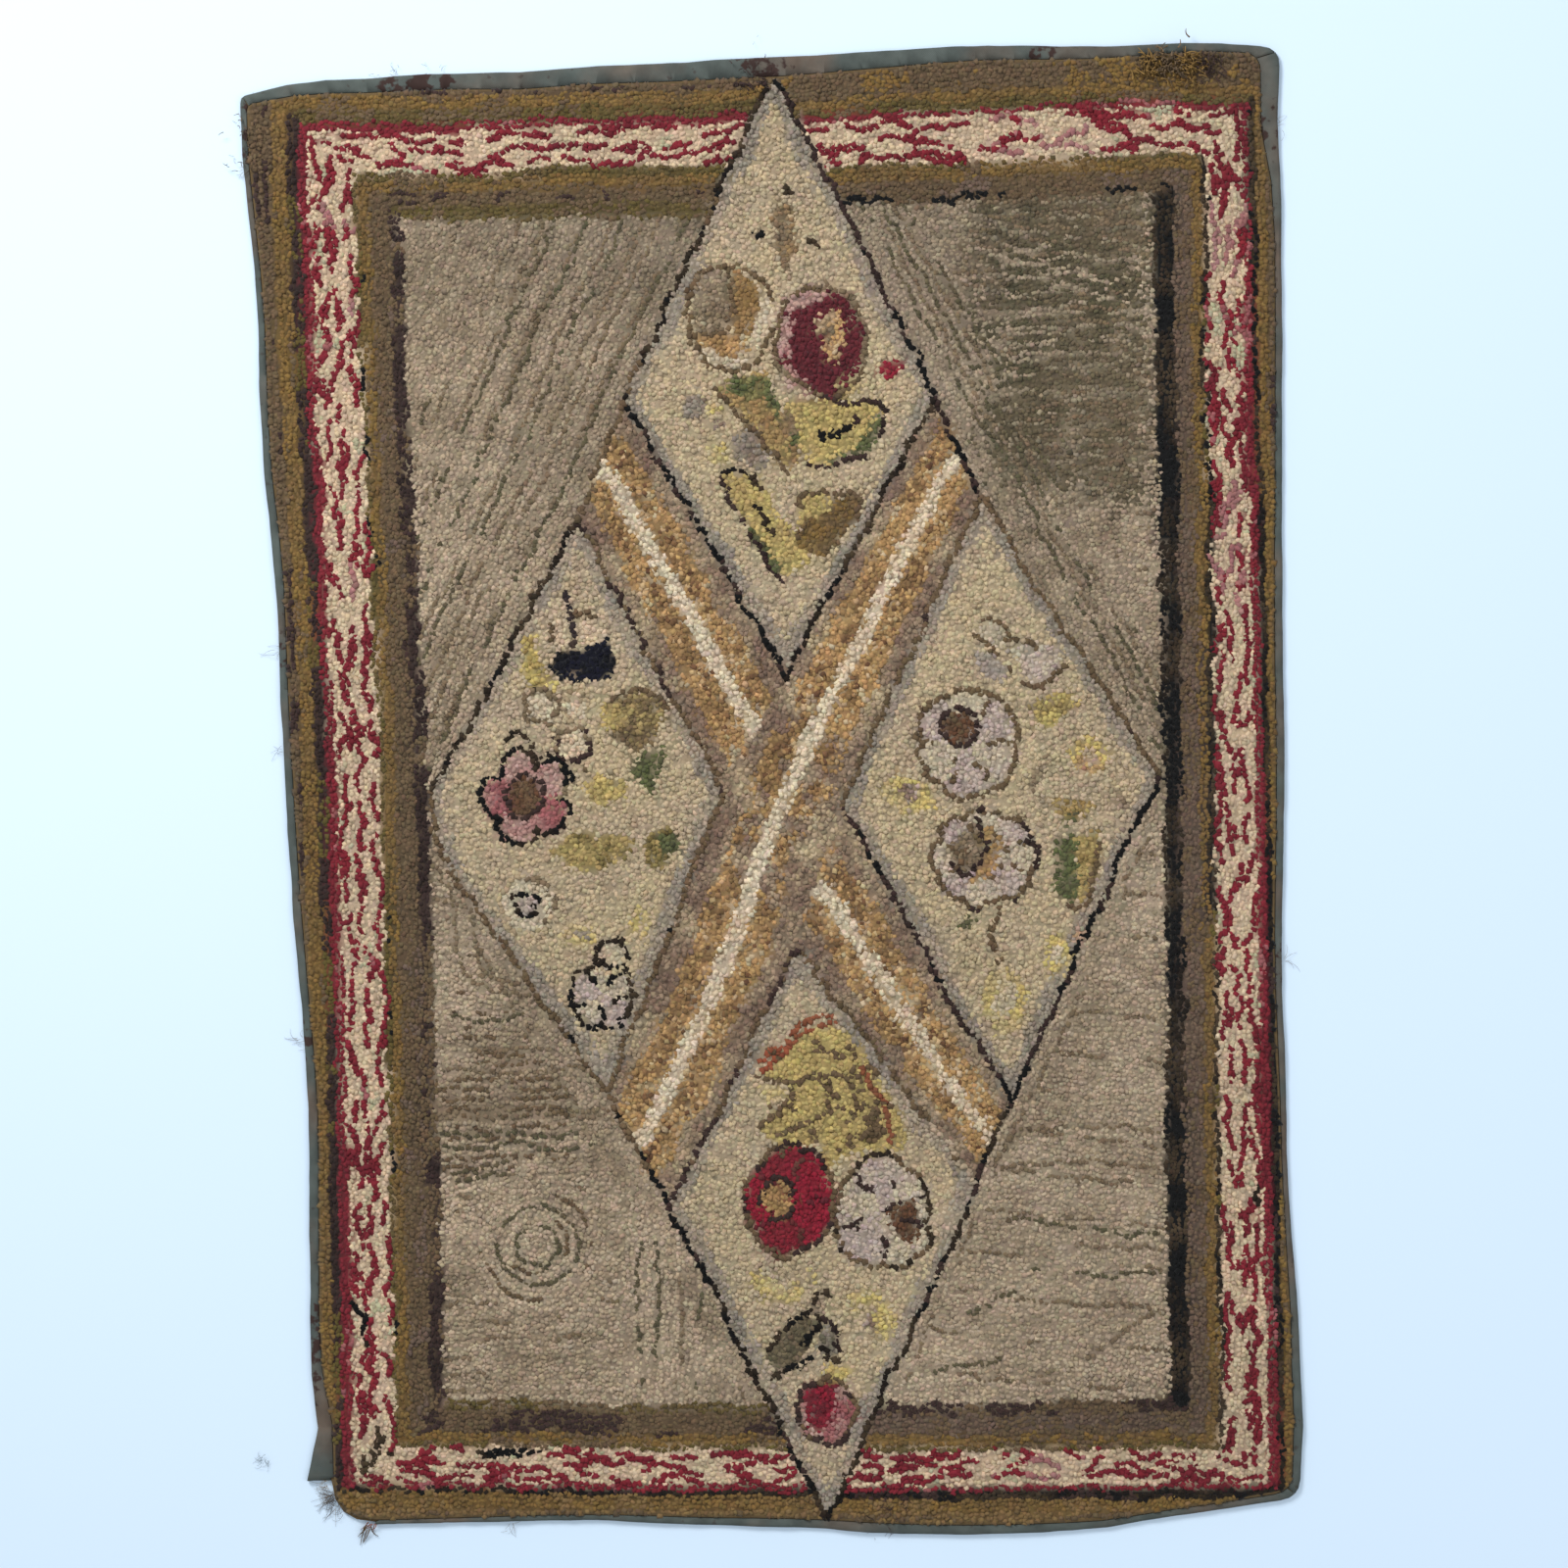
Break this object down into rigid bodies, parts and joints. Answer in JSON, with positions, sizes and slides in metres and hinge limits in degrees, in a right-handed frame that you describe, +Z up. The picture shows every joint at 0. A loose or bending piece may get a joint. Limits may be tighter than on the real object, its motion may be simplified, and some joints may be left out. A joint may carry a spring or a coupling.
{
  "type": "hooked rug",
  "caption": "Flat hooked wool rug with tape-bound edges, a striped border and a diamond of flowers, for a floor or a wall.",
  "frame": {"origin": "centre of the rug's outline, on the floor under it", "axes": "+Y along the rug's length towards the end with the wide tape, +X to the right seen from above, +Z up out of the pile"},
  "size_m": [0.813, 1.1408, 0.007],
  "materials": {
    "wool_pile": "matt looped wool",
    "cotton_tape": "matt twill"
  },
  "bodies": {
    "root": {"hooked_ground": "wool_pile", "binding_top": "cotton_tape", "binding_right": "cotton_tape", "binding_bottom": "cotton_tape", "binding_left": "cotton_tape"}
  },
  "joints": []
}
